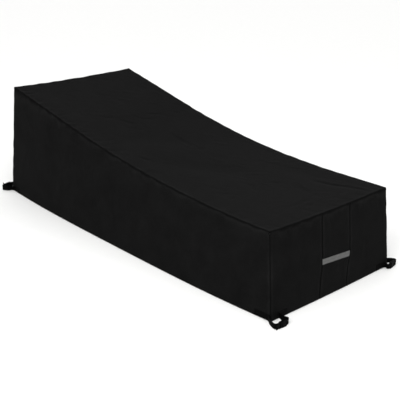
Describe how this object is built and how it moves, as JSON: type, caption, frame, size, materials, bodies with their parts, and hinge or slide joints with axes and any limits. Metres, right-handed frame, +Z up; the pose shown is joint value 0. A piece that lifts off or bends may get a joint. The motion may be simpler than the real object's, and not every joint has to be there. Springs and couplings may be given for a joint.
{
  "type": "lounge chair cover",
  "caption": "Hollow fitted cloth cover for a garden lounge chair: high head end, top that slopes and sags to the foot end, band across the foot end, buckled strap loops at the corners.",
  "frame": {"origin": "on the ground, under the middle of the hem", "axes": "+X from the high head end to the low foot end, +Y from the side nearer the viewer to the far side, +Z up"},
  "size_m": [2.1336, 0.9517, 0.6189],
  "materials": {
    "coated_black_cloth": "coated plain weave, low sheen",
    "grey_band_webbing": "woven band, satin",
    "black_strap_webbing": "woven webbing, matt",
    "black_buckle_plastic": "moulded, fine texture"
  },
  "bodies": {
    "root": {"top_panel": "coated_black_cloth", "side_near": "coated_black_cloth", "side_far": "coated_black_cloth", "head_end": "coated_black_cloth", "foot_end_near": "coated_black_cloth", "foot_strip": "coated_black_cloth", "foot_end_far": "coated_black_cloth", "foot_band": "grey_band_webbing", "strap_free_foot_near": "black_strap_webbing", "strap_fixed_foot_near": "black_strap_webbing", "buckle_socket_foot_near": "black_buckle_plastic", "buckle_plug_foot_near": "black_buckle_plastic", "strap_free_foot_far": "black_strap_webbing", "strap_fixed_foot_far": "black_strap_webbing", "buckle_socket_foot_far": "black_buckle_plastic", "buckle_plug_foot_far": "black_buckle_plastic", "strap_free_head_near": "black_strap_webbing", "strap_fixed_head_near": "black_strap_webbing", "buckle_socket_head_near": "black_buckle_plastic", "buckle_plug_head_near": "black_buckle_plastic", "strap_free_head_far": "black_strap_webbing", "strap_fixed_head_far": "black_strap_webbing", "buckle_socket_head_far": "black_buckle_plastic", "buckle_plug_head_far": "black_buckle_plastic"}
  },
  "joints": []
}
